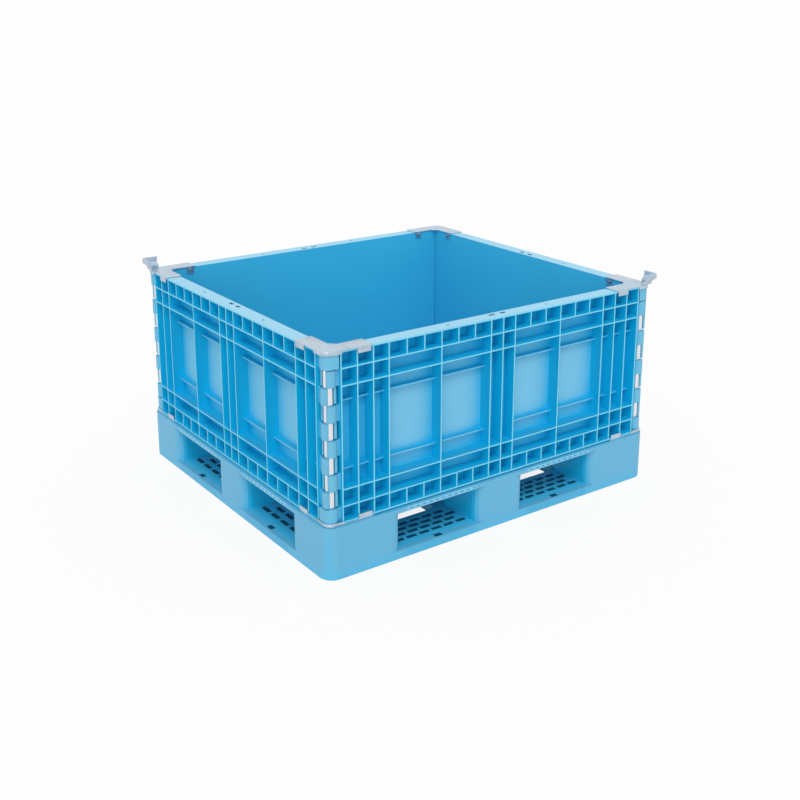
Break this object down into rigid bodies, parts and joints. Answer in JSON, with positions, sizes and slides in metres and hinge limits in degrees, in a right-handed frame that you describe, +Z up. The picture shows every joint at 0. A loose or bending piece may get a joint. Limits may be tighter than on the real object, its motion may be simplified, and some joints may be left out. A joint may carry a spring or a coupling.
{
  "type": "pallet box",
  "caption": "Open-topped plastic pallet box: nine-block four-way pallet, ribbed walls interlocked on corner hinge pipes, steel corner plates and stacking guides.",
  "frame": {"origin": "centre of the pallet's underside", "axes": "+Z up, +X along the longer side, -Y out of the front wall"},
  "size_m": [1.2066, 1.1066, 0.6712],
  "materials": {
    "pallet_plastic": "satin moulded",
    "wall_plastic": "satin moulded",
    "galvanised_steel": "bright galvanised",
    "pipe_steel": "bright drawn",
    "screw_steel": "zinc plated"
  },
  "bodies": {
    "root": {"pallet": "pallet_plastic", "front_wall": "wall_plastic", "back_wall": "wall_plastic", "left_wall": "wall_plastic", "right_wall": "wall_plastic", "top_plate_near": "galvanised_steel", "top_plate_right": "galvanised_steel", "top_plate_far": "galvanised_steel", "top_plate_left": "galvanised_steel", "bottom_plate_near": "galvanised_steel", "bottom_plate_right": "galvanised_steel", "bottom_plate_far": "galvanised_steel", "bottom_plate_left": "galvanised_steel", "stacking_guide_right": "galvanised_steel", "stacking_guide_left": "galvanised_steel", "corner_pipe_near": "pipe_steel", "corner_pipe_right": "pipe_steel", "corner_pipe_far": "pipe_steel", "corner_pipe_left": "pipe_steel", "top_screw_near_a": "screw_steel", "top_screw_near_b": "screw_steel", "top_screw_right_a": "screw_steel", "top_screw_right_b": "screw_steel", "top_screw_far_a": "screw_steel", "top_screw_far_b": "screw_steel", "top_screw_left_a": "screw_steel", "top_screw_left_b": "screw_steel", "bottom_screw_near_a": "screw_steel", "bottom_screw_near_b": "screw_steel", "bottom_screw_right_a": "screw_steel", "bottom_screw_right_b": "screw_steel", "bottom_screw_far_a": "screw_steel", "bottom_screw_far_b": "screw_steel", "bottom_screw_left_a": "screw_steel", "bottom_screw_left_b": "screw_steel"}
  },
  "joints": []
}
